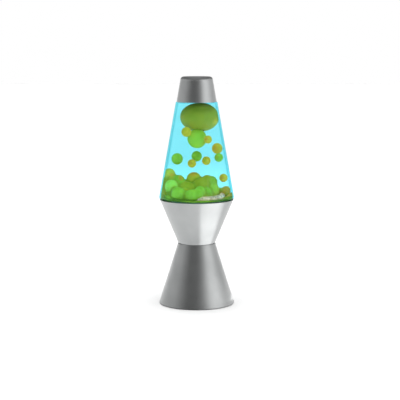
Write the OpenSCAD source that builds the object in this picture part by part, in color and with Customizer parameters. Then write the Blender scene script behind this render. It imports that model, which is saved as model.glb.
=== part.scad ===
// Miniature battery-lit lava lamp: clear bottle of liquid and wax on an hourglass base.
// Origin at the centre of the standing face, +Z up, millimetres.

/* [Base] */
// Outer radius of the foot where it meets the table
foot_r = 17; // [16.6:0.2:19]
// Outer radius of the waist between the two base shells
waist_r = 8.3; // [8.2:0.1:8.8]
// Height of the waist
waist_z = 27.7; // [27.5:0.1:28.5]
// Outer radius of the base cone at its top edge
rim_r = 16.5; // [16.4:0.1:16.7]
// Thickness of the silver shells
shell_t = 1.2; // [1:0.1:1.3]

/* [Bottle] */
// Height of the base cone's top edge, where the bottle sits
rim_z = 47.2; // [47:0.1:47.4]
// Largest radius of the bottle, just above the base
heel_r = 16.8; // [16.7:0.1:17]
// Radius of the bottle at the shoulder
shoulder_r = 9.25; // [9.2:0.05:9.4]
// Height of the shoulder
shoulder_z = 90.7; // [90.5:0.1:91]
// Thickness of the bottle wall
glass_t = 0.7; // [0.6:0.05:0.75]
// Outer radius of the neck
neck_r = 5.2; // [5:0.05:5.2]

/* [Cap] */
// Height of the whole lamp
total_h = 102; // [101.5:0.1:103]
// Outer radius of the cap at its open end
cap_foot_r = 8.95; // [8.9:0.05:9.1]
// Outer radius of the cap at its top
cap_top_r = 7.25; // [7.1:0.05:7.4]
// Radius of the cap's rounded top edge
cap_edge_r = 1.6; // [1:0.1:1.7]

/* [Batteries] */
// Radius of one button cell
cell_r = 5.8; // [5.75:0.05:5.8]
// Height of one button cell
cell_h = 5.4; // [5.3:0.05:5.4]

/* [Switch] */
// How far the slider moves between off and on
switch_travel = 2.2; // [1.8:0.1:2.2]

/* [Hidden] */
$fn = 96;
clear = 0.05;        // running clearance of parts that slide or turn
eps = 0.5;           // overrun of a cutting tool past the face it cuts
merge = 0.4;         // how far one piece runs into the piece it is moulded to

// Base shells
foot_edge_z = 0.4;
plate_z0 = 0.8;
plate_z1 = 2.2;
pad_out_r = 14.9;
pad_in_r = 13;
foot_slope = (foot_r - waist_r) / waist_z;
cone_slope = (rim_r - waist_r) / (rim_z - waist_z);
deck_t = 1.5;        // the two plates that meet at the waist
seam_h = 0.3;        // shadow groove between the two shells
seam_depth = 0.5;
wire_hole_r = 3.6;
bend_swell = 0.15;   // a wire is a little thicker at its bends
tower_offset = 5.6;  // screw towers from the axis
tower_r = 1.5;
shell_tower_top = 32.8;
board_z = 33.5;
board_t = 1.2;
board_r = 8.8;
lead_x = 1.27;       // the light's two leads
lead_r = 0.25;
ledge_z = 41.2;
ledge_t = 1.2;
ledge_r = 10.5;
window_t = 1;
window_r = 12.5;
flange_t = 1.2;      // ring inside the cone's top edge that locates the bottle
spigot_r = 13;

// Bottle
heel_z = 48.2;
heel_in = 0.5;
heel_mid_in = 0.15;
heel_mid_z = 0.35;
heel_inside_z = heel_z + 0.4;    // the rounded corner of the floor, inside
heel_inside_r = 0.5;
floor_z = rim_z + 0.4;
floor_t = 1.2;
spigot_t = 1.2;
spigot_z = 44.2;
bore_r = 4;
neck_top = 97.5;
bottle_slope = (heel_r - shoulder_r) / (shoulder_z - heel_z);
roof_t = 0.4;
ceiling_z = shoulder_z - roof_t;

// Cap
cap_t = 1;
cap_z = shoulder_z + clear;
sleeve_z = 92;
sleeve_t = 0.8;

// Stopper and its seal
plug_z = 91;
stopper_flange_t = 1.2;
stopper_flange_r = 5;
seal_z = 94;
seal_wire_r = 0.42;
seal_r = 3.52;
groove_r = 3.05;
groove_w = 1;

// Battery tube, door and its screw
tube_r = cell_r + 0.15;
tube_t = 1;
door_t = 1;
door_r = 7.2;
door_gap = 0.15;
door_tower_r = 2;
door_tower_h = 5.4;
lug_y = -9.8;
lug_r = 2.5;
contact_t = 0.25;
contact_r = 4.4;
rivet_r = 1.1;
rivet_head_r = 1.8;
rivet_head_t = 0.4;
cells_z = 2.15;
spring_z = cells_z + 3 * cell_h;
tube_top = 20.5;
spring_r = 3.2;
spring_wire_r = 0.35;
spring_turns = 4;
spring_pitch = 0.48;
spring_taper = 0.4;

// Wires; the negative one bends at each of these points
rivet_top = tube_top + tube_t + rivet_head_t;
wire_r = 0.45;
negative_y = 8.1;
wire_hole_y = 2.6;
negative_points = [[0, negative_y, 8.2], [0, negative_y, 22.2], [0, wire_hole_y, 25.4],
    [0, wire_hole_y, board_z]];

// Screws
screw_r = 0.8;
screw_head_r = 1.6;
cross = [2.2, 0.4, 0.5];     // length, width and depth of the cross in a head
pan_head_h = 1.2;
sunk_head_h = 0.8;
plate_head_h = 1;
shell_screw_len = 5.5;
board_screw_len = 3.5;
plate_screw_len = 6;
door_screw_len = 4.5;
shell_hole_top = waist_z + 4.3;
board_hole_depth = 3;
plate_hole_depth = 6.5;
plate_screw_x = 11.2;
plate_tower_r = 1.9;
plate_tower_top = 12;

// Slide switch
switch_y = 10.4;
housing = [8.4, 3.6, 3.2];
cavity = [6.9, 2.8, 1.9];
carriage = [3.8, 2.4, 1.4];
knob = [1.9, 1.5];
slot_w = 1.9;
slot_len = 6;
knob_z = 0.3;

// Wax: each drop is [x, y, z, radius, how far it sinks, how far it rises]
drops = [[-4.5, -6.9, 77.9, 2.2, 6, 1], [5, -7.2, 74.6, 1.8, 5, 3], [9.2, 2.4, 69.8, 2.45, 6, 0.5],
    [9.8, -3.8, 66.3, 1.95, 3, 1.5], [-8.7, 0.5, 65.3, 2.6, 1.5, 8], [0, 5.5, 66, 2.4, 4, 8],
    [-2.1, -4, 63.7, 1.9, 4, 2], [4.3, -3, 64.8, 1.95, 5, 1.5], [12, -1, 56.9, 1.9, 3, 2]];
channel_gap = 0.15;
// The middle blob: place, radius, how far it sinks
blob_at = [0.2, -2, 74.6];
blob_r = 4.35;
blob_sink = 2;
blob_gap = 0.3;      // between the blob and the crown above it
// The mass under the cap: place, half width, half height
crown_at = [1.3, 1.6, 83.9];
crown_rx = 8.75;
crown_rz = 6.5;
// The heap on the floor: each lump is [x, y, z, radius]
lumps = [[-12.1, 1, 58.2, 2.8], [-10.4, -1, 55.1, 3], [-7.9, -2, 55.5, 2.9], [-11.3, -5.5, 53.6, 2.9],
    [-8.1, -10.4, 50.9, 3], [-1.2, 3, 55.6, 3.5], [-4.4, -4, 52.3, 3.3], [6.4, 1, 54.6, 3],
    [2.1, -1.5, 53.2, 3.8], [-2.1, -12.2, 50.3, 2.8], [1.5, -9, 51.8, 2.4], [7.3, -1, 51.6, 2.9],
    [8.2, 3, 50.5, 2.4], [10.3, 4.5, 49.6, 2.1], [13, 2.5, 49.3, 2], [13.2, 3, 50.8, 2.1],
    [-13.2, 0.5, 54.8, 2.7], [0.6, -11.3, 50.9, 2.4], [4.6, 0, 56, 2.2], [-5.2, -8, 50.8, 2.5],
    [4.4, -5, 50.6, 2.5]];
puddle_at = [-3.5, -0.5];
puddle_r = 12.6;
puddle_top_r = 11.5;
puddle_top = 50.6;
liquid_z = 51.9;     // the liquid's solid starts above the lowest wax
// The coil on the floor
coil_r = 11.5;
coil_tube_r = 1.1;
coil_z = floor_z + coil_tube_r + clear;

// Radii of the tapered surfaces at a height
function foot_out(z) = foot_r - foot_slope * z;
function foot_in(z) = foot_out(z) - shell_t;
function cone_out(z) = waist_r + cone_slope * (z - waist_z);
function cone_in(z) = cone_out(z) - shell_t;
function bottle_out(z) = heel_r - bottle_slope * (z - heel_z);
function bottle_in(z) = bottle_out(z) - glass_t;

// A ring or disc between two heights
module ring(r_out, r_in, z0, z1) {
    translate([0, 0, z0])
        difference() {
            cylinder(r = r_out, h = z1 - z0);
            if (r_in > 0)
                translate([0, 0, -eps]) cylinder(r = r_in, h = z1 - z0 + 2 * eps);
        }
}

// A truncated cone between two heights
module taper(r0, r1, z0, z1) {
    translate([0, 0, z0]) cylinder(r1 = r0, r2 = r1, h = z1 - z0);
}

// A round solid wider than it is high
module spheroid(rx, rz) {
    steps = 24;
    rotate_extrude()
        polygon([for (i = [0:steps]) let (a = -90 + 180 * i / steps) [rx * cos(a), rz * sin(a)]]);
}

// The cross in a screw's head, cut upwards from the head's face
module cross_cut() {
    for (turn = [0, 90])
        rotate([0, 0, turn])
            translate([-cross[0] / 2, -cross[1] / 2, -eps])
                cube([cross[0], cross[1], cross[2] + eps]);
}

// A countersunk screw standing on its head
module screw(shank_len, head_h) {
    difference() {
        union() {
            cylinder(r1 = screw_head_r, r2 = screw_r, h = head_h);
            translate([0, 0, head_h / 2]) cylinder(r = screw_r, h = shank_len);
        }
        cross_cut();
    }
}

// A flat-headed screw standing on its head
module pan_screw(shank_len, head_h) {
    difference() {
        union() {
            cylinder(r = screw_head_r, h = head_h);
            cylinder(r = screw_r, h = head_h + shank_len);
        }
        cross_cut();
    }
}

// The clearance hole for a countersunk screw
module screw_hole(shank_len, head_h) {
    translate([0, 0, -eps]) cylinder(r = screw_head_r + clear, h = eps);
    cylinder(r1 = screw_head_r + clear, r2 = screw_r + clear, h = head_h);
    translate([0, 0, head_h / 2]) cylinder(r = screw_r + clear, h = shank_len + eps);
}

// A round wire through a list of points
module wire(points, r) {
    $fn = 32;
    for (i = [0:len(points) - 2]) {
        run = points[i + 1] - points[i];
        length = norm(run);
        translate(points[i])
            rotate([0, acos(run[2] / length), atan2(run[1], run[0])])
                cylinder(r = r, h = length);
    }
    for (i = [1:len(points) - 2])
        translate(points[i]) sphere(r = r + bend_swell);
}

module foot_shell() {
    color("darkgray")
        difference() {
            union() {
                difference() {
                    taper(foot_out(foot_edge_z), waist_r, foot_edge_z, waist_z);
                    taper(foot_in(0), foot_in(waist_z - deck_t), 0, waist_z - deck_t);
                }
                for (side = [-1, 1])
                    intersection() {
                        translate([side * plate_screw_x, 0, plate_z1])
                            cylinder(r = plate_tower_r, h = plate_tower_top - plate_z1);
                        taper(foot_out(0) - shell_t / 4, waist_r - shell_t / 4, 0, waist_z);
                    }
            }
            ring(waist_r + eps, waist_r - seam_depth, waist_z - seam_h, waist_z + eps);
            translate([0, 0, waist_z - deck_t - eps]) cylinder(r = wire_hole_r, h = deck_t + 2 * eps);
            for (side = [-1, 1]) {
                translate([0, side * tower_offset, waist_z - deck_t - eps])
                    cylinder(r = screw_r + clear, h = deck_t + 2 * eps);
                translate([side * plate_screw_x, 0, plate_z1 - eps])
                    cylinder(r = screw_r + clear, h = plate_hole_depth + eps);
            }
        }
}

module base_cone() {
    color("silver")
        difference() {
            union() {
                difference() {
                    taper(waist_r, rim_r, waist_z, rim_z);
                    taper(cone_in(waist_z + deck_t), cone_in(rim_z - flange_t),
                        waist_z + deck_t, rim_z - flange_t);
                    translate([0, 0, rim_z - flange_t - eps])
                        cylinder(r = spigot_r + clear, h = flange_t + 2 * eps);
                }
                difference() {
                    taper(cone_in(ledge_z) + merge, cone_in(ledge_z + ledge_t) + merge,
                        ledge_z, ledge_z + ledge_t);
                    translate([0, 0, ledge_z - eps]) cylinder(r = ledge_r, h = ledge_t + 2 * eps);
                }
                for (side = [-1, 1]) {
                    translate([side * tower_offset, 0, waist_z + deck_t - merge])
                        cylinder(r = tower_r, h = board_z - waist_z - deck_t + merge);
                    translate([0, side * tower_offset, waist_z + deck_t - merge])
                        cylinder(r = tower_r, h = shell_tower_top - waist_z - deck_t + merge);
                }
            }
            translate([0, 0, waist_z - eps]) cylinder(r = wire_hole_r, h = deck_t + 2 * eps);
            for (side = [-1, 1]) {
                translate([side * tower_offset, 0, board_z - board_hole_depth])
                    cylinder(r = screw_r + clear, h = board_hole_depth + eps);
                translate([0, side * tower_offset, waist_z - eps])
                    cylinder(r = screw_r + clear, h = shell_hole_top - waist_z + eps);
            }
        }
}

module shell_screws() {
    color("dimgray")
        for (side = [-1, 1])
            translate([0, side * tower_offset, waist_z - deck_t - pan_head_h])
                pan_screw(shell_screw_len, pan_head_h);
}

module bottom_plate() {
    color("gray")
        difference() {
            union() {
                taper(foot_in(plate_z0) - clear, foot_in(plate_z1) - clear, plate_z0, plate_z1);
                ring(tube_r + tube_t, 0, plate_z1 - merge, tube_top + tube_t);
                translate([0, lug_y, plate_z1 - merge]) cylinder(r = door_tower_r, h = door_tower_h);
            }
            translate([0, 0, plate_z0]) cylinder(r = tube_r, h = tube_top - plate_z0);
            translate([0, 0, tube_top - eps]) cylinder(r = rivet_r + clear, h = tube_t + 2 * eps);
            translate([0, 0, plate_z0 - eps])
                door_outline(door_r + door_gap, lug_r + door_gap, door_t + eps + clear);
            translate([0, lug_y, plate_z0]) cylinder(r = screw_r + clear, h = door_tower_h);
            translate([-slot_len / 2, switch_y - slot_w / 2, plate_z0 - eps])
                cube([slot_len, slot_w, plate_z1 - plate_z0 + 2 * eps]);
            for (side = [-1, 1])
                translate([side * plate_screw_x, 0, plate_z0])
                    screw_hole(plate_screw_len, plate_head_h);
        }
}

// The battery door's outline: a disc with a round-ended lug for its screw
module door_outline(r, r_lug, h) {
    cylinder(r = r, h = h);
    translate([0, lug_y, 0]) cylinder(r = r_lug, h = h);
    translate([-r_lug, lug_y, 0]) cube([2 * r_lug, -lug_y, h]);
}

module plate_screws() {
    color("dimgray")
        for (side = [-1, 1])
            translate([side * plate_screw_x, 0, plate_z0]) screw(plate_screw_len, plate_head_h);
}

module foot_pad() {
    color("black") ring(pad_out_r, pad_in_r, 0, plate_z0);
}

module button_cell(i) {
    rim = 0.35;
    color("lightgray")
        translate([0, 0, cells_z + i * cell_h]) {
            cylinder(r = cell_r - 1, h = rim);
            translate([0, 0, rim]) cylinder(r = cell_r, h = cell_h - rim);
        }
}

module contact_spring() {
    color("goldenrod")
        for (i = [0:spring_turns - 1])
            translate([0, 0, spring_z + spring_wire_r + i * spring_pitch])
                rotate_extrude()
                    translate([spring_r - i * spring_taper, 0]) circle(r = spring_wire_r, $fn = 24);
}

module contact_rivet() {
    color("goldenrod") {
        translate([0, 0, tube_top]) cylinder(r = rivet_r, h = tube_t + rivet_head_t / 2);
        translate([0, 0, tube_top + tube_t]) cylinder(r = rivet_head_r, h = rivet_head_t);
    }
}

module led_board() {
    color("darkgreen")
        difference() {
            translate([0, 0, board_z]) cylinder(r = board_r, h = board_t);
            for (side = [-1, 1]) {
                translate([side * tower_offset, 0, board_z - eps])
                    cylinder(r = screw_r + clear, h = board_t + 2 * eps);
                translate([side * lead_x, 0, board_z - eps])
                    cylinder(r = lead_r + 2 * clear, h = board_t + 2 * eps);
            }
        }
}

module board_screws() {
    color("dimgray")
        for (side = [-1, 1])
            translate([side * tower_offset, 0, board_z + board_t + pan_head_h])
                mirror([0, 0, 1]) pan_screw(board_screw_len, pan_head_h);
}

module led() {
    body_r = 2.5;
    body_h = 3.9;
    collar = [0.4, 1];
    lead_end = 0.8;
    color("white")
        translate([0, 0, board_z + board_t]) {
            cylinder(r = body_r + collar[0], h = collar[1]);
            cylinder(r = body_r, h = body_h);
            translate([0, 0, body_h]) sphere(r = body_r);
            for (side = [-1, 1])
                translate([side * lead_x, 0, -board_t - lead_end])
                    cylinder(r = lead_r, h = board_t + lead_end + merge);
        }
}

module resistor() {
    size = [3.2, 1.6, 0.6];
    place = [2.6, 4.2];
    color("black") translate([place[0], place[1], board_z + board_t]) cube(size);
}

module wire_positive() {
    color("red")
        translate([0, 0, rivet_top]) cylinder(r = wire_r, h = board_z - rivet_top);
}

module wire_negative() {
    color("black")
        wire(negative_points, wire_r);
}

module switch_housing() {
    color("black")
        translate([-housing[0] / 2, switch_y - housing[1] / 2, plate_z1])
            difference() {
                cube(housing);
                translate([(housing[0] - cavity[0]) / 2, (housing[1] - cavity[1]) / 2, -eps])
                    cube([cavity[0], cavity[1], cavity[2] + eps]);
            }
}

module switch_terminals() {
    tag = [1, 0.3, 2];
    spacing = 2.5;
    bar_z = plate_z1 + housing[2] + 1.4;
    post_r = 0.4;
    color("goldenrod") {
        for (i = [-1:1])
            translate([i * spacing - tag[0] / 2, switch_y - tag[1] / 2, plate_z1 + housing[2]])
                cube(tag);
        translate([-tag[0] / 2, negative_y, bar_z]) cube([tag[0], switch_y - negative_y, tag[1]]);
        translate([0, negative_y, bar_z]) cylinder(r = post_r, h = negative_points[0][2] - bar_z);
    }
}

module light_window() {
    color("white", 0.5) ring(window_r, 0, ledge_z + ledge_t, ledge_z + ledge_t + window_t);
}

// Stands at its on position
module switch_slider() {
    color("dimgray")
        translate([switch_travel / 2, switch_y, 0]) {
            translate([-carriage[0] / 2, -carriage[1] / 2, plate_z1 + clear]) cube(carriage);
            translate([-knob[0] / 2, -knob[1] / 2, knob_z])
                cube([knob[0], knob[1], plate_z1 - knob_z + merge]);
        }
}

module battery_door() {
    color("gray")
        translate([0, 0, plate_z0])
            difference() {
                door_outline(door_r, lug_r, door_t);
                translate([0, lug_y, 0]) screw_hole(door_screw_len, sunk_head_h);
            }
}

module door_contact() {
    color("goldenrod") translate([0, 0, plate_z0 + door_t]) cylinder(r = contact_r, h = contact_t);
}

module door_screw() {
    color("dimgray") translate([0, lug_y, plate_z0]) screw(door_screw_len, sunk_head_h);
}

module bottle() {
    wall_in = bottle_in(heel_inside_z);
    color("lightcyan", 0.4)
        rotate_extrude()
            polygon([[0, floor_z], [0, floor_z - floor_t], [spigot_r - spigot_t, floor_z - floor_t],
                [spigot_r - spigot_t, spigot_z], [spigot_r, spigot_z], [spigot_r, rim_z],
                [heel_r - heel_in, rim_z], [heel_r - heel_mid_in, rim_z + heel_mid_z],
                [heel_r, heel_z], [shoulder_r, shoulder_z], [neck_r, shoulder_z],
                [neck_r, neck_top], [bore_r, neck_top], [bore_r, ceiling_z],
                [bottle_in(ceiling_z), ceiling_z], [wall_in, heel_inside_z],
                [wall_in - heel_inside_r, floor_z]]);
}

module bottle_stopper() {
    color("black")
        difference() {
            union() {
                ring(bore_r - clear, 0, plug_z, neck_top + merge);
                ring(stopper_flange_r, 0, neck_top, neck_top + stopper_flange_t);
            }
            ring(bore_r + eps, groove_r, seal_z - groove_w / 2, seal_z + groove_w / 2);
        }
}

module stopper_seal() {
    color("black")
        translate([0, 0, seal_z])
            rotate_extrude() translate([seal_r, 0]) circle(r = seal_wire_r, $fn = 24);
}

// The space inside the bottle, drawn in from the wall by a gap
module inside(gap) {
    z1 = ceiling_z - gap;
    heel_in_r = bottle_in(heel_inside_z) - gap;
    taper(heel_in_r - heel_inside_r, heel_in_r, floor_z + gap, heel_inside_z);
    taper(heel_in_r, bottle_in(z1) - gap, heel_inside_z, z1);
}

module crown_shape(grow) {
    translate(crown_at) spheroid(crown_rx + grow, crown_rz + grow);
}

module lump_shapes() {
    for (lump = lumps)
        translate([lump[0], lump[1], lump[2]]) sphere(r = lump[3]);
}

module puddle_shape() {
    translate(puddle_at) taper(puddle_r, puddle_top_r, floor_z, puddle_top);
}

module coil_shape(grow) {
    translate([0, 0, coil_z])
        rotate_extrude() translate([coil_r, 0]) circle(r = coil_tube_r + grow, $fn = 32);
}

// The vertical way in which a drop rises and sinks, or a lump stands
module channel(at, r, sink, rise) {
    translate([at[0], at[1], at[2] - sink - r - channel_gap])
        cylinder(r = r + channel_gap, h = sink + rise + 2 * (r + channel_gap));
}

// Fills the bottle above the puddle, round the heap, the crown and the drops' ways
module liquid() {
    color("deepskyblue", 0.5)
        difference() {
            inside(clear);
            crown_shape(clear);
            ring(heel_r, 0, 0, liquid_z);
            for (lump = lumps)
                if (lump[2] + lump[3] > liquid_z)
                    channel(lump, lump[3], lump[2] - rim_z, 0);
            channel(blob_at, blob_r, blob_sink, 0);
            for (drop = drops)
                channel(drop, drop[3], drop[4], drop[5]);
        }
}

module wax_crown() {
    color("olivedrab")
        difference() {
            intersection() {
                crown_shape(0);
                inside(2 * clear);
            }
            translate(blob_at) sphere(r = blob_r + blob_gap);
        }
}

module wax_pool() {
    color("limegreen")
        difference() {
            intersection() {
                union() {
                    lump_shapes();
                    puddle_shape();
                }
                inside(2 * clear);
            }
            coil_shape(clear);
        }
}

module coil_ring() {
    color("silver") coil_shape(0);
}

module cap() {
    slope = (cap_foot_r - cap_top_r) / (total_h - cap_z);
    corner = [cap_top_r - cap_edge_r, total_h - cap_edge_r];
    steps = 8;
    color("gray")
        difference() {
            rotate_extrude()
                polygon(concat([[0, cap_z], [cap_foot_r, cap_z]],
                    [for (i = [0:steps]) let (a = 90 * i / steps)
                        corner + cap_edge_r * [cos(a), sin(a)]],
                    [[0, total_h]]));
            difference() {
                taper(cap_foot_r - cap_t + slope * eps, cap_top_r - cap_t,
                    cap_z - eps, total_h - cap_t);
                ring(neck_r + clear + sleeve_t, 0, sleeve_z, total_h);
            }
            translate([0, 0, sleeve_z - eps])
                cylinder(r = neck_r + clear, h = total_h - cap_t - sleeve_z + eps);
        }
}

module wax_blob() {
    color("limegreen") translate(blob_at) sphere(r = blob_r);
}

module wax_drop(i) {
    color("yellowgreen") translate([drops[i][0], drops[i][1], drops[i][2]]) sphere(r = drops[i][3]);
}

foot_shell();
base_cone();
shell_screws();
bottom_plate();
plate_screws();
foot_pad();
button_cell(0);  // button_cell_1
button_cell(1);  // button_cell_2
button_cell(2);  // button_cell_3
contact_spring();
contact_rivet();
led_board();
board_screws();
led();
resistor();
wire_positive();
wire_negative();
switch_housing();
switch_terminals();
light_window();
switch_slider();
battery_door();
door_contact();
door_screw();
bottle();
bottle_stopper();
stopper_seal();
liquid();
wax_crown();
wax_pool();
coil_ring();
cap();
wax_blob();
wax_drop(0);  // wax_drop_1
wax_drop(1);  // wax_drop_2
wax_drop(2);  // wax_drop_3
wax_drop(3);  // wax_drop_4
wax_drop(4);  // wax_drop_5
wax_drop(5);  // wax_drop_6
wax_drop(6);  // wax_drop_7
wax_drop(7);  // wax_drop_8
wax_drop(8);  // wax_drop_9
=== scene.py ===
"""Miniature lava lamp: the looks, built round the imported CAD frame. Metres, +Z up."""
import math

import bmesh
import bpy
import numpy as np
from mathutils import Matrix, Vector, noise


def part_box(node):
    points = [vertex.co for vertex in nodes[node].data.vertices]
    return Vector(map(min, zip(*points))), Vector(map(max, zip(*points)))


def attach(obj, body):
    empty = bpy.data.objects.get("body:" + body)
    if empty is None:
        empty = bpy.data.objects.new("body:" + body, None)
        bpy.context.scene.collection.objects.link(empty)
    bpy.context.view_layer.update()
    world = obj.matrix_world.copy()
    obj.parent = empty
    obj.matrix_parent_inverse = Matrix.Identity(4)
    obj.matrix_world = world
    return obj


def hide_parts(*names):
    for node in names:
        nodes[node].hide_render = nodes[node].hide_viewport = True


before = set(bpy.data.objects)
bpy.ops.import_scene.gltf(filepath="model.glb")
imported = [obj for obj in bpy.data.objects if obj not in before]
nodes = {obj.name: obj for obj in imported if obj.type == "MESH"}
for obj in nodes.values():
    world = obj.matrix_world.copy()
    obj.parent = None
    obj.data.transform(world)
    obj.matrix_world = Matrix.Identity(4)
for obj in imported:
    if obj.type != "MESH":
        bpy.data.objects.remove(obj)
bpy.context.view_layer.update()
MM = 0.001
ROUND_STEPS = 160                    # faces round a turned piece
WIRE_SIDES = 10                      # faces round a wire
TINY = 1e-7                          # lengths below this count as none

# ---------------------------------------------------------------- sizes read from the frame
bottle_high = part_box("bottle")[1]
cap_low, cap_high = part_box("cap")
cone_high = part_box("base_cone")[1]
coil_low, coil_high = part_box("coil_ring")
spring_low, spring_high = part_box("contact_spring")

SKIN = 0.12 * MM                     # glass still to be seen outside the liquid, which it magnifies
HEEL_R = bottle_high[0]
HEEL_Z = cone_high[2] + 1.0 * MM     # the bottle is widest just above the cone's edge
SHOULDER_R = cap_high[0] + 0.3 * MM  # the shoulder stands out a little from the cap
SHOULDER_Z = cap_low[2]
FLOOR_Z = cone_high[2] + 0.4 * MM    # floor of the bottle, inside


def wall_outside(z):
    """Outer radius of the bottle at a height."""
    share = (z - HEEL_Z) / (SHOULDER_Z - HEEL_Z)
    return HEEL_R + (SHOULDER_R - HEEL_R) * share


# ---------------------------------------------------------------- mesh helpers
def new_object(name, mesh):
    obj = bpy.data.objects.new(name, mesh)
    bpy.context.scene.collection.objects.link(obj)
    return obj


def smooth(obj):
    for poly in obj.data.polygons:
        poly.use_smooth = True
    return obj


def solid(name, bm):
    """Turns a finished bmesh into a smooth object, with its faces outwards."""
    bmesh.ops.recalc_face_normals(bm, faces=bm.faces)
    mesh = bpy.data.meshes.new(name)
    bm.to_mesh(mesh)
    bm.free()
    return smooth(new_object(name, mesh))


def revolve(name, profile):
    """A closed solid turned from (radius, height) points, both ends on the axis."""
    bm = bmesh.new()
    rings = []
    turn = [2 * math.pi * i / ROUND_STEPS for i in range(ROUND_STEPS)]
    for r, z in profile:
        if r < TINY:
            rings.append([bm.verts.new((0, 0, z))])
            continue
        rings.append([bm.verts.new((r * math.cos(a), r * math.sin(a), z)) for a in turn])
    for low, high in zip(rings, rings[1:]):
        for i in range(ROUND_STEPS):
            j = (i + 1) % ROUND_STEPS
            if len(low) == 1:
                bm.faces.new((low[0], high[j], high[i]))
            elif len(high) == 1:
                bm.faces.new((low[i], low[j], high[0]))
            else:
                bm.faces.new((low[i], low[j], high[j], high[i]))
    return solid(name, bm)


def tube(name, points, radius):
    """A round wire along a list of points, with closed ends, or joined end to end if it is a loop."""
    loop = (points[0] - points[-1]).length < TINY
    path = points[:-1] if loop else points
    count = len(path)
    bm = bmesh.new()
    rings = []
    side = None
    for i, point in enumerate(path):
        ahead = path[(i + 1) % count] if loop or i < count - 1 else path[i]
        behind = path[i - 1] if loop or i > 0 else path[i]
        along = (ahead - behind).normalized()
        guess = side if side is not None else along.orthogonal()
        side = (guess - along * guess.dot(along)).normalized()
        other = along.cross(side)
        ring = []
        for k in range(WIRE_SIDES):
            a = 2 * math.pi * k / WIRE_SIDES
            ring.append(bm.verts.new(point + radius * (math.cos(a) * side + math.sin(a) * other)))
        rings.append(ring)
    for i in range(count if loop else count - 1):
        here, there = rings[i], rings[(i + 1) % count]
        turn = 0
        if i == count - 1:           # the loop's last ring joins the first at its nearest corner
            first = here[0].co
            turn = min(range(WIRE_SIDES), key=lambda k: (there[k].co - first).length)
        for k in range(WIRE_SIDES):
            n = (k + 1) % WIRE_SIDES
            a, b = there[(n + turn) % WIRE_SIDES], there[(k + turn) % WIRE_SIDES]
            bm.faces.new((here[k], here[n], a, b))
    if not loop:
        bm.faces.new(list(reversed(rings[0])))
        bm.faces.new(rings[-1])
    return solid(name, bm)


def apply_modifiers(obj):
    bpy.context.view_layer.update()
    graph = bpy.context.evaluated_depsgraph_get()
    mesh = bpy.data.meshes.new_from_object(obj.evaluated_get(graph))
    obj.modifiers.clear()
    obj.data = mesh
    return obj


def voxels(obj, size):
    remesh = obj.modifiers.new("remesh", "REMESH")
    remesh.mode = "VOXEL"
    remesh.voxel_size = size


def swelled(obj, amount):
    swell = obj.modifiers.new("swell", "DISPLACE")
    swell.mid_level = 0
    swell.strength = amount


def wax_from(node, name, voxel, fillet, wobble, seed):
    """A soft wax body grown from a CAD solid: remeshed, relaxed and gently uneven.

    It draws inwards from the CAD surface, and fills only creases narrower than the fillet, where
    no drop reaches, so it keeps clear of its neighbours."""
    mesh = nodes[node].data.copy()
    mesh.materials.clear()
    obj = new_object(name, mesh)
    voxels(obj, voxel)
    if fillet:
        swelled(obj, fillet)
        voxels(obj, voxel)
        swelled(obj, -fillet)
        voxels(obj, voxel)
    relax = obj.modifiers.new("relax", "CORRECTIVE_SMOOTH")
    relax.iterations = 8
    relax.use_only_smooth = True
    apply_modifiers(obj)
    fit_to(obj, *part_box(node))
    low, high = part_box(node)
    spacing = 0.45 * min(high[k] - low[k] for k in range(3))
    points, normals = vertex_arrays(obj)
    shift = Vector((seed, 0, 0))
    uneven = np.array([noise.noise(Vector(p) / spacing + shift) for p in points])
    points -= normals * (wobble * (0.5 + 0.5 * uneven))[:, None]
    move_vertices(obj, points)
    return smooth(obj)


def fit_to(obj, low, high):
    """Stretches a piece by the little that it lost, back to its CAD box."""
    points = vertex_arrays(obj)[0]
    low, high = np.array(low), np.array(high)
    found_low, found_high = points.min(axis=0), points.max(axis=0)
    move_vertices(obj, (points - found_low) / (found_high - found_low) * (high - low) + low)


def vertex_arrays(obj):
    """Every vertex's place and normal, as two arrays."""
    count = len(obj.data.vertices)
    points, normals = np.empty(count * 3), np.empty(count * 3)
    obj.data.vertices.foreach_get("co", points)
    obj.data.vertices.foreach_get("normal", normals)
    return points.reshape(-1, 3), normals.reshape(-1, 3)


def move_vertices(obj, points):
    obj.data.vertices.foreach_set("co", points.ravel())
    obj.data.update()


# ---------------------------------------------------------------- material helpers
# The Mix node's colour sockets: its two inputs and its output
MIX_A, MIX_B, MIX_OUT = 6, 7, 2
SHINE_LEAST = 0.008                  # gloss of a clear body seen square on


def blank_material(name):
    mat = bpy.data.materials.new(name)
    mat.use_nodes = True
    mat.node_tree.nodes.clear()
    return mat, mat.node_tree


def add(tree, kind, **values):
    node = tree.nodes.new(kind)
    for key, value in values.items():
        if key in node.inputs:
            node.inputs[key].default_value = value
        else:
            setattr(node, key, value)
    return node


def finish_material(mat, shader):
    out = add(mat.node_tree, "ShaderNodeOutputMaterial")
    mat.node_tree.links.new(shader.outputs[0], out.inputs["Surface"])
    return mat


def noise_at(tree, scale, detail=3.0, stretch=(1, 1, 1)):
    """Noise in the object's own coordinates; scale is in features per metre."""
    where = add(tree, "ShaderNodeTexCoord")
    mapping = add(tree, "ShaderNodeMapping")
    mapping.inputs["Scale"].default_value = stretch
    tree.links.new(where.outputs["Object"], mapping.inputs["Vector"])
    texture = add(tree, "ShaderNodeTexNoise", Scale=scale, Detail=detail)
    tree.links.new(mapping.outputs["Vector"], texture.inputs["Vector"])
    return texture.outputs["Fac"]


def ramp(tree, source, stops):
    """Colours a value through (position, colour) stops."""
    node = add(tree, "ShaderNodeValToRGB")
    elements = node.color_ramp.elements
    while len(elements) < len(stops):
        elements.new(0.5)
    for element, (position, colour) in zip(elements, stops):
        element.position = position
        element.color = (*colour, 1)
    tree.links.new(source, node.inputs["Fac"])
    return node.outputs["Color"]


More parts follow.
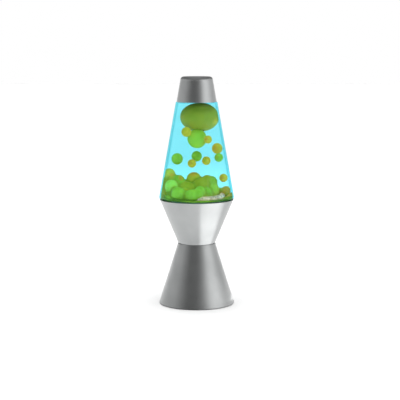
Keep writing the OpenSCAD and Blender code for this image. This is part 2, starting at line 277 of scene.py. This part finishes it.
def spread(tree, source, low, high):
    """Widens noise, which stays near its middle, to a range."""
    node = add(tree, "ShaderNodeMapRange")
    node.inputs["From Min"].default_value = 0.3
    node.inputs["From Max"].default_value = 0.7
    node.inputs["To Min"].default_value = low
    node.inputs["To Max"].default_value = high
    tree.links.new(source, node.inputs["Value"])
    return node.outputs["Result"]


def surface(name, dark, light, patch, rough, grain, bump, **sockets):
    """A solid material: colour drifts between two tones, roughness varies, and a fine grain lifts it."""
    mat, tree = blank_material(name)
    shader = add(tree, "ShaderNodeBsdfPrincipled", **sockets)
    colour = ramp(tree, noise_at(tree, patch), [(0.35, dark), (0.65, light)])
    tree.links.new(colour, shader.inputs["Base Color"])
    fine = noise_at(tree, grain, 4.0)
    tree.links.new(spread(tree, fine, *rough), shader.inputs["Roughness"])
    lift = add(tree, "ShaderNodeBump", Strength=bump, Distance=0.02 * MM)
    tree.links.new(fine, lift.inputs["Height"])
    tree.links.new(lift.outputs["Normal"], shader.inputs["Normal"])
    return finish_material(mat, shader)


def paint_glints_from_below(mat, dim, bright):
    """Paints the lamp's warm light into a solid material as uneven emitted glints: painted glints and
    glow, though the part is no lamp.
    """
    tree = mat.node_tree
    shader = next(n for n in tree.nodes if n.type == "BSDF_PRINCIPLED")
    painted_glints = ramp(tree, noise_at(tree, 700), [(0.4, dim), (0.6, bright)])
    tree.links.new(painted_glints, shader.inputs["Emission Color"])
    shader.inputs["Emission Strength"].default_value = 1


def see_through(name, tint, shine_most, edge_tint=None):
    """A clear body: light passes unbent and tinted, and its outside is glossier towards the edge."""
    mat, tree = blank_material(name)
    clear = add(tree, "ShaderNodeBsdfTransparent")
    clear.inputs["Color"].default_value = (*tint, 1)
    facing = add(tree, "ShaderNodeLayerWeight", Blend=0.5).outputs["Facing"]
    if edge_tint:
        colour = ramp(tree, facing, [(0.6, tint), (0.95, edge_tint)])
        tree.links.new(colour, clear.inputs["Color"])
    shine = add(tree, "ShaderNodeBsdfGlossy")
    tree.links.new(spread(tree, noise_at(tree, 900), 0.08, 0.14), shine.inputs["Roughness"])
    rise = add(tree, "ShaderNodeMath", operation="POWER")
    tree.links.new(facing, rise.inputs[0])
    rise.inputs[1].default_value = 4
    amount = add(tree, "ShaderNodeMapRange")
    amount.inputs["To Min"].default_value = SHINE_LEAST
    amount.inputs["To Max"].default_value = shine_most
    tree.links.new(rise.outputs[0], amount.inputs["Value"])
    outside = add(tree, "ShaderNodeMath", operation="SUBTRACT")
    outside.inputs[0].default_value = 1
    tree.links.new(add(tree, "ShaderNodeNewGeometry").outputs["Backfacing"], outside.inputs[1])
    factor = add(tree, "ShaderNodeMath", operation="MULTIPLY")
    tree.links.new(amount.outputs["Result"], factor.inputs[0])
    tree.links.new(outside.outputs[0], factor.inputs[1])
    mix = add(tree, "ShaderNodeMixShader")
    tree.links.new(factor.outputs[0], mix.inputs["Fac"])
    tree.links.new(clear.outputs[0], mix.inputs[1])
    tree.links.new(shine.outputs[0], mix.inputs[2])
    return finish_material(mat, mix)


def multiplied(tree, one, other):
    node = add(tree, "ShaderNodeMix", data_type="RGBA", blend_type="MULTIPLY")
    node.inputs["Factor"].default_value = 1
    tree.links.new(one, node.inputs[MIX_A])
    tree.links.new(other, node.inputs[MIX_B])
    return node.outputs[MIX_OUT]


def wax_material(name, swirl_scale, seed):
    """Waxy and slightly translucent: its painted tones, unevenly dyed, carry a painted glow that stands
    in for the lamp's light shining through the wax.
    """
    mat, tree = blank_material(name)
    shader = add(tree, "ShaderNodeBsdfPrincipled")
    shader.inputs["Subsurface Weight"].default_value = 0.15
    shader.inputs["Subsurface Radius"].default_value = (1.0, 0.8, 0.3)
    shader.inputs["Subsurface Scale"].default_value = 0.6 * MM
    shader.inputs["Specular IOR Level"].default_value = 0.12
    shader.inputs["Emission Strength"].default_value = 1
    swirl = ramp(tree, noise_at(tree, swirl_scale, 2.0, (1, 1, 1 + seed)),
                 [(0.3, (0.86, 0.9, 0.7)), (0.5, (1, 1, 1)), (0.72, (1.12, 1.02, 0.95))])
    base = add(tree, "ShaderNodeAttribute", attribute_name="wax_base").outputs["Color"]
    painted_glow = add(tree, "ShaderNodeAttribute", attribute_name="wax_painted_glow").outputs["Color"]
    tree.links.new(multiplied(tree, base, swirl), shader.inputs["Base Color"])
    tree.links.new(multiplied(tree, painted_glow, swirl), shader.inputs["Emission Color"])
    fine = noise_at(tree, 1600, 3.0)
    tree.links.new(spread(tree, fine, 0.35, 0.55), shader.inputs["Roughness"])
    lift = add(tree, "ShaderNodeBump", Strength=0.1, Distance=0.05 * MM)
    tree.links.new(fine, lift.inputs["Height"])
    tree.links.new(lift.outputs["Normal"], shader.inputs["Normal"])
    return finish_material(mat, shader)


def lamp_glow(name, colour, strength):
    """A frosted disc lit from behind by the lamp."""
    mat, tree = blank_material(name)
    shader = add(tree, "ShaderNodeBsdfPrincipled", Roughness=0.5)
    cloudy = ramp(tree, noise_at(tree, 500), [(0.3, [c * 0.85 for c in colour]), (0.7, colour)])
    tree.links.new(cloudy, shader.inputs["Base Color"])
    tree.links.new(cloudy, shader.inputs["Emission Color"])
    shader.inputs["Emission Strength"].default_value = strength
    return finish_material(mat, shader)


# ---------------------------------------------------------------- materials
silver = surface("satin_silver", (0.36, 0.37, 0.37), (0.41, 0.42, 0.42), 90, (0.27, 0.33),
                 6000, 0.15, Metallic=1.0)
grey_plastic = surface("grey_plastic", (0.13, 0.135, 0.135), (0.16, 0.165, 0.165), 200,
                       (0.45, 0.6), 5000, 0.5)
black_plastic = surface("black_plastic", (0.012, 0.012, 0.013), (0.02, 0.02, 0.022), 300,
                        (0.35, 0.55), 5000, 0.4)
rubber = surface("pad_rubber", (0.015, 0.015, 0.015), (0.03, 0.03, 0.03), 300, (0.75, 0.9),
                 7000, 0.8)
screw_steel = surface("screw_steel", (0.42, 0.42, 0.43), (0.56, 0.56, 0.57), 900, (0.25, 0.4),
                      6000, 0.3, Metallic=1.0)
cell_steel = surface("cell_steel", (0.6, 0.6, 0.61), (0.72, 0.72, 0.73), 500, (0.2, 0.32),
                     5000, 0.2, Metallic=1.0)
coil_steel = surface("coil_steel", (0.7, 0.5, 0.36), (0.85, 0.62, 0.46), 600, (0.2, 0.3),
                     5000, 0.1, Metallic=1.0)
# the coil's emission is painted light: glints of the lamp's warm light from below, though the coil is no
# lamp
paint_glints_from_below(coil_steel, (0.28, 0.15, 0.115), (0.78, 0.42, 0.31))
contact_metal = surface("contact_metal", (0.7, 0.5, 0.2), (0.85, 0.66, 0.32), 700, (0.2, 0.35),
                        5000, 0.2, Metallic=1.0)
board_green = surface("board_green", (0.01, 0.12, 0.035), (0.015, 0.17, 0.05), 600, (0.3, 0.45),
                      4000, 0.3)
led_lens = surface("led_lens", (0.75, 0.85, 0.9), (0.85, 0.95, 1.0), 900, (0.1, 0.2), 4000, 0.1)
wire_red = surface("wire_red", (0.4, 0.015, 0.015), (0.5, 0.025, 0.02), 500, (0.4, 0.5), 4000, 0.2)
window_glow = lamp_glow("window_glow", (0.75, 0.95, 1.0), 2.0)
BOTTLE_TINT = (0.985, 0.995, 0.995)
LIQUID_TINT = (0.49, 0.92, 0.985)
bottle_clear = see_through("bottle_clear", BOTTLE_TINT, 0.08, (0.5, 0.8, 0.83))
liquid_blue = see_through("liquid_blue", LIQUID_TINT, 0.04)
wax_plain = wax_material("wax_plain", 300, 0.0)
wax_mottled = wax_material("wax_mottled", 430, 0.3)


# ---------------------------------------------------------------- carried-over CAD parts
CAD_LOOKS = {
    silver: ["foot_shell", "base_cone", "cap"],
    grey_plastic: ["bottom_plate", "battery_door"],
    black_plastic: ["switch_housing", "switch_slider", "bottle_stopper", "resistor",
                    "wire_negative"],
    rubber: ["foot_pad", "stopper_seal"],
    screw_steel: ["shell_screws", "plate_screws", "board_screws", "door_screw"],
    cell_steel: ["button_cell_1", "button_cell_2", "button_cell_3"],
    contact_metal: ["contact_rivet", "door_contact", "switch_terminals"],
    board_green: ["led_board"],
    led_lens: ["led"],
    wire_red: ["wire_positive"],
    window_glow: ["light_window"],
    bottle_clear: ["bottle"],
}
for look, names in CAD_LOOKS.items():
    for name in names:
        for material_slot in nodes[name].material_slots:
            material_slot.material = look


def place(obj, body, node, look):
    obj.data.materials.clear()
    obj.data.materials.append(look)
    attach(obj, body)
    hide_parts(node)


# ---------------------------------------------------------------- liquid
def liquid():
    """Fills the bottle nearly to its outside, as the liquid looks through a clear round wall."""
    top_z = SHOULDER_Z - SKIN
    low_z = FLOOR_Z + SKIN
    heel = wall_outside(HEEL_Z) - SKIN
    corner = 0.9 * MM
    steps = 8
    profile = [(0, low_z)]
    for i in range(steps + 1):
        a = math.pi / 2 * i / steps
        profile.append((heel - corner + corner * math.sin(a), low_z + corner * (1 - math.cos(a))))
    profile += [(wall_outside(top_z) - SKIN, top_z), (0, top_z)]
    place(revolve("liquid_body", profile), "bottle", "liquid", liquid_blue)


# ---------------------------------------------------------------- wax
# Tones as they show through the liquid
LEAF = (0.130, 0.47, 0.042)
LIME = (0.165, 0.54, 0.052)
STRAW = (0.270, 0.48, 0.045)
PEAR = (0.270, 0.54, 0.075)
JADE = (0.210, 0.73, 0.112)
FERN = (0.110, 0.30, 0.020)
OLIVE = (0.185, 0.39, 0.030)
# painted shade: a dark green for the crown's top under the cap and for low places by the floor and the
# coil
MOSS_SHADE = (0.065, 0.155, 0.009)
KHAKI = (0.155, 0.31, 0.030)
RUST = (0.30, 0.31, 0.036)
BROWN = (0.27, 0.34, 0.060)
YELLOW = (0.31, 0.43, 0.034)
SHADE = (0.040, 0.15, 0.008)
SURROUND = 1.0           # light that reaches the wax's front, before the liquid's tint
LIT_SHARE = 0.75         # how much of a tone comes from that light; the rest is painted glow, standing in for the lamp's light


def paint(obj, ground, spots):
    """Stores a wax piece's own colour and its painted glow, which stands in for the lamp's light, from
    tones blended round places in its body.

    A spot is a place and a reach in millimetres, how sharp its edge is, and a tone."""
    points = vertex_arrays(obj)[0] / MM
    tone = np.tile(np.array(ground, dtype=float), (len(points), 1))
    for place_mm, reach, edge, colour in spots:
        away = np.linalg.norm(points - np.array(place_mm), axis=1)
        share = np.clip((reach + edge - away) / (2 * edge), 0, 1)
        share = (share * share * (3 - 2 * share))[:, None]
        tone = tone * (1 - share) + np.array(colour) * share
    through = np.array(LIQUID_TINT) * np.array(BOTTLE_TINT) ** 2
    base = np.minimum(0.92, LIT_SHARE * tone / (through ** 2 * SURROUND))
    # painted glow: the rest of each tone, emitted in place of the lamp's light through the wax
    painted_glow = np.maximum(0, tone / through - base * through * SURROUND)
    for layer, values in (("wax_base", base), ("wax_painted_glow", painted_glow)):
        rgba = np.ones((len(points), 4))
        rgba[:, :3] = values
        colours = obj.data.color_attributes.new(layer, "FLOAT_COLOR", "POINT")
        colours.data.foreach_set("color", rgba.ravel())


def wax():
    """Every wax piece: its voxel in millimetres, its ground tone and its spots."""
    # In the heap, the dark spot low by the coil and the wide one that darkens every surface near the
    # floor are painted shade.
    heap = [((-12.1, 1, 58.2), 2.9, 0.5, PEAR), ((-11.0, -1.6, 58.0), 0.9, 0.9, RUST),
            ((-13.2, 0.5, 54.8), 2.8, 0.5, OLIVE), ((-10.4, -1, 55.1), 3.1, 0.5, OLIVE),
            ((-7.9, -2, 55.5), 3.0, 0.5, LEAF), ((-7.0, -3.4, 57.2), 1.0, 1.0, RUST),
            ((-1.2, 3, 55.6), 3.6, 0.5, STRAW), ((-1.6, 1.5, 58.6), 1.4, 1.2, RUST),
            ((4.6, 0, 56), 2.3, 0.5, OLIVE), ((6.4, 1, 54.6), 3.1, 0.5, LEAF),
            ((2.1, -1.5, 53.2), 3.9, 0.5, OLIVE), ((7.3, -1, 51.6), 3.0, 0.5, LIME),
            ((8.2, 3, 50.5), 2.5, 0.5, LEAF), ((4.4, -5, 50.6), 2.6, 0.5, LEAF),
            ((-4.4, -4, 52.3), 3.4, 0.5, OLIVE), ((-5.2, -8, 50.8), 2.6, 0.5, OLIVE),
            ((-11.3, -5.5, 53.6), 3.0, 0.5, JADE), ((-8.1, -10.4, 50.9), 3.1, 0.5, LIME),
            ((1.5, -9, 51.8), 2.5, 0.5, LIME), ((0.6, -11.3, 50.9), 2.5, 0.5, LIME),
            ((-2.1, -12.2, 50.3), 2.9, 0.5, LIME), ((13.2, 3, 50.8), 2.2, 0.7, BROWN),
            ((10.3, 4.5, 49.6), 2.2, 0.4, MOSS_SHADE), ((0, 0, -951.2), 1000, 0.9, SHADE)]
    # On the crown, the dark spot over its top is painted shade under the cap.
    table = [("wax_crown", "bottle", 0.3, 0, wax_plain, KHAKI,
              [((1, 0, 96.5), 6.6, 3.4, MOSS_SHADE), ((-7.5, -3, 84), 1.2, 1.2, RUST),
               ((8.5, -3, 82), 1.6, 1.6, YELLOW), ((5.5, -6, 88.8), 0.8, 0.8, RUST)]),
             ("wax_pool", "bottle", 0.28, 1.1, wax_plain, FERN, heap),
             ("wax_blob", "wax_blob", 0.2, 0, wax_plain, LIME, [((3.5, -5, 72.5), 1.0, 1.5, OLIVE)])]
    tones = [YELLOW, YELLOW, YELLOW, LEAF, LEAF, LEAF, YELLOW, YELLOW, YELLOW]
    hearts = [YELLOW, RUST, RUST, OLIVE, LIME, LIME, RUST, OLIVE, RUST]
    for i, (ground, heart) in enumerate(zip(tones, hearts), 1):
        low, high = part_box(f"wax_drop_{i}")
        middle = [(low[k] + high[k]) / 2 / MM for k in range(3)]
        radius = (high[0] - low[0]) / 2 / MM
        spots = [((middle[0] - 0.4 * radius, middle[1] - 0.8 * radius, middle[2] + 0.2 * radius),
                  0.35 * radius, 0.4 * radius, heart)]
        table.append((f"wax_drop_{i}", f"wax_drop_{i}", 0.14, 0, wax_mottled, ground, spots))
    for seed, (node, body, voxel, fillet, look, ground, spots) in enumerate(table):
        low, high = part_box(node)
        wobble = 0.008 * min(high[k] - low[k] for k in range(3))
        name = node.replace("wax", "lava")
        piece = wax_from(node, name, voxel * MM, fillet * MM, wobble, 7.3 * seed)
        paint(piece, ground, spots)
        place(piece, body, node, look)


# How high the bank stands at the wall, in millimetres, at angles round the axis from +X, and
# how far out its slope starts and how wide it is, as shares of the floor's radius
BANK_AT = [-180, -170, -156, -120, -95, -20, 10, 60, 110, 150, 165, 180]
BANK_HIGH = [8.8, 5.5, 2.0, 0.8, 0.1, 0.1, 1.8, 0.8, 1.5, 7.0, 9.5, 8.8]
BANK_START, BANK_WIDE = 0.76, 0.2
# How far inside the bottle's outer surface the film and the bank end
FILM_IN, BANK_IN = 0.6 * MM, 0.5 * MM


def wax_film():
    """The thin layer of wax over the rest of the floor, and the bank of it against the wall; its dark
    ground tone is painted shade.
    """
    edge = wall_outside(HEEL_Z) - FILM_IN
    low_z, top_z = FLOOR_Z + 0.15 * MM, FLOOR_Z + 0.5 * MM
    steps = 24
    profile = [(0, low_z), (edge - 0.2 * MM, low_z), (edge, low_z + 0.15 * MM)]
    profile += [(edge * (1 - i / steps), top_z) for i in range(steps + 1)]
    film = revolve("lava_film", profile)
    points = vertex_arrays(film)[0]
    upper = points[:, 2] > top_z - 0.01 * MM
    ripple = np.array([noise.noise(Vector(p) / (3 * MM)) for p in points])
    points[upper, 2] += 0.08 * MM * ripple[upper]
    around = np.degrees(np.arctan2(points[:, 1], points[:, 0]))
    crest = np.interp(around, BANK_AT, BANK_HIGH) * MM
    out_share = np.hypot(points[:, 0], points[:, 1]) / edge
    near = np.clip((out_share - BANK_START) / BANK_WIDE, 0, 1)
    points[upper, 2] += ((crest + 0.5 * MM * ripple) * near ** 2 * (3 - 2 * near))[upper]
    inward = [min(1, (wall_outside(z) - BANK_IN) / edge) for z in points[:, 2]]
    points[:, :2] *= np.array(inward)[:, None]
    move_vertices(film, points)
    # the film's dark ground and its dark spot at the back right are painted shade, along the rim and by
    # the coil
    paint(film, SHADE, [((9, 9, 48), 4, 3, MOSS_SHADE), ((13, -4, 48), 2.5, 2, FERN),
                        ((1, -15, 47.5), 6, 2.5, FERN), ((15, 0, 50), 2.5, 1, BROWN),
                        ((-15, -2, 51), 5, 1.5, KHAKI), ((-14, 2, 56), 5, 1.5, OLIVE),
                        ((-11, -9, 51), 3, 1.5, LEAF)])
    film.data.materials.append(wax_plain)
    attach(film, "bottle")


# ---------------------------------------------------------------- coils
def wound_ring():
    """The ring on the bottle's floor: one wire wound round and round a circle."""
    wire = 0.3 * MM
    turns = 92
    steps = 14
    tube_r = (coil_high[2] - coil_low[2]) / 2 - wire
    ring_r = coil_high[0] - tube_r - wire
    mid_z = (coil_high[2] + coil_low[2]) / 2
    points = []
    for i in range(turns * steps + 1):
        around = 2 * math.pi * i / (turns * steps)
        wind = 2 * math.pi * i / steps
        r = ring_r + tube_r * math.cos(wind)
        points.append(Vector((r * math.cos(around), r * math.sin(around),
                              mid_z + tube_r * math.sin(wind))))
    points[-1] = points[0].copy()
    place(tube("floor_coil", points, wire), "bottle", "coil_ring", coil_steel)


def contact_coil():
    """The tapered spring that presses on the cells."""
    wire = 0.3 * MM
    turns = 3.5
    steps = 90
    low_z, high_z = spring_low[2] + wire, spring_high[2] - wire
    wide = spring_high[0] - wire
    narrow = 0.6 * wide
    points = []
    for i in range(steps + 1):
        share = i / steps
        a = 2 * math.pi * turns * share
        r = wide + (narrow - wide) * share
        points.append(Vector((r * math.cos(a), r * math.sin(a), low_z + (high_z - low_z) * share)))
    place(tube("contact_coil", points, wire), "base", "contact_spring", contact_metal)


# ---------------------------------------------------------------- stage, light and camera
# The studio's walls: degrees round from the front towards the right, and how bright
WALLS = [(-180, 0.3), (-150, 0.3), (-120, 0.7), (-80, 0.7), (-52, 0.4), (-34, 0.1), (4, 0.1),
         (24, 0.5), (50, 1.8), (72, 1.75), (105, 0.9), (125, 0.75), (150, 0.3), (180, 0.3)]
# Degrees up between which the walls fade to another brightness, and that brightness: white round
# the horizon, dim above, and a little less dim overhead
HEIGHTS = [(8, 3, 1.0), (17, 34, 0.28), (50, 66, 0.45)]


def world_light():
    """A plain studio: white round the horizon, grey walls with a dim front, and a dim ceiling."""
    world = bpy.data.worlds.new("studio")
    bpy.context.scene.world = world
    world.use_nodes = True
    tree = world.node_tree
    tree.nodes.clear()
    where = add(tree, "ShaderNodeTexCoord")
    split = add(tree, "ShaderNodeSeparateXYZ")
    tree.links.new(where.outputs["Generated"], split.inputs[0])
    flip = add(tree, "ShaderNodeMath", operation="MULTIPLY")
    tree.links.new(split.outputs["Y"], flip.inputs[0])
    flip.inputs[1].default_value = -1
    turn = add(tree, "ShaderNodeMath", operation="ARCTAN2")
    tree.links.new(split.outputs["X"], turn.inputs[0])
    tree.links.new(flip.outputs[0], turn.inputs[1])
    round_share = add(tree, "ShaderNodeMapRange")
    round_share.inputs["From Min"].default_value = -math.pi
    round_share.inputs["From Max"].default_value = math.pi
    tree.links.new(turn.outputs[0], round_share.inputs["Value"])
    walls = [(degrees / 360 + 0.5, (level, level, level)) for degrees, level in WALLS]
    wall = ramp(tree, round_share.outputs["Result"], walls)
    shade = wall
    for start, end, level in HEIGHTS:
        height = add(tree, "ShaderNodeMapRange", interpolation_type="SMOOTHSTEP")
        height.inputs["From Min"].default_value = math.sin(math.radians(start))
        height.inputs["From Max"].default_value = math.sin(math.radians(end))
        tree.links.new(split.outputs["Z"], height.inputs["Value"])
        mix = add(tree, "ShaderNodeMix", data_type="RGBA")
        tree.links.new(height.outputs["Result"], mix.inputs["Factor"])
        tree.links.new(shade, mix.inputs[MIX_A])
        mix.inputs[MIX_B].default_value = (level, level, level, 1)
        shade = mix.outputs[MIX_OUT]
    back = add(tree, "ShaderNodeBackground", Strength=1.0)
    tree.links.new(shade, back.inputs["Color"])
    out = add(tree, "ShaderNodeOutputWorld")
    tree.links.new(back.outputs[0], out.inputs["Surface"])


def soft_box(name, at, target, width, height, power, in_gloss=True):
    """A rectangular light in watts that the camera can't see."""
    data = bpy.data.lights.new(name, "AREA")
    data.shape = "RECTANGLE"
    data.size = width
    data.size_y = height
    data.energy = power
    obj = bpy.data.objects.new(name, data)
    bpy.context.scene.collection.objects.link(obj)
    obj.location = at
    obj.rotation_euler = (Vector(target) - Vector(at)).to_track_quat("-Z", "Y").to_euler()
    obj.visible_camera = False
    obj.visible_glossy = in_gloss


def overhead(power):
    """Even light from straight above, too wide to show as a highlight."""
    data = bpy.data.lights.new("overhead", "SUN")
    data.energy = power
    data.angle = math.radians(60)
    obj = bpy.data.objects.new("overhead", data)
    bpy.context.scene.collection.objects.link(obj)
    obj.location = (0, 0, 1)
    obj.visible_camera = False
    obj.visible_glossy = False


def stage():
    """A plain pale floor, three metres out each way."""
    bm = bmesh.new()
    bmesh.ops.create_grid(bm, x_segments=8, y_segments=8, size=3.0)
    mesh = bpy.data.meshes.new("floor")
    bm.to_mesh(mesh)
    bm.free()
    floor = new_object("floor", mesh)
    pale = surface("floor_pale", (0.86, 0.86, 0.86), (0.88, 0.88, 0.88), 4, (0.6, 0.7), 300, 0.02)
    floor.data.materials.append(pale)


def camera():
    """Seen from the front and a little above."""
    elevation = math.radians(7.5)
    distance = 0.5312
    aim = Vector((0.0015, 0, 0.0468))
    data = bpy.data.cameras.new("camera")
    data.lens = 106.5
    data.sensor_width = 36
    data.clip_start = 0.01
    obj = bpy.data.objects.new("camera", data)
    bpy.context.scene.collection.objects.link(obj)
    away = Vector((0, -math.cos(elevation), math.sin(elevation)))
    obj.location = aim + away * distance
    obj.rotation_euler = (-away).to_track_quat("-Z", "Y").to_euler()
    bpy.context.scene.camera = obj


liquid()
wax()
wax_film()
wound_ring()
contact_coil()
world_light()
soft_box("front_fill", (0.05, -0.5, 0.25), (0, 0, 0.07), 0.35, 0.3, 0.9, in_gloss=False)
soft_box("back_fill", (-0.1, 0.5, 0.3), (0, 0, 0.07), 0.35, 0.3, 0.5, in_gloss=False)
soft_box("right_bounce", (0.043, -0.021, 0.002), (0.043, -0.021, 0.1), 0.065, 0.065, 0.014)
overhead(2.75)
stage()
camera()
bpy.context.scene.view_settings.view_transform = "Standard"
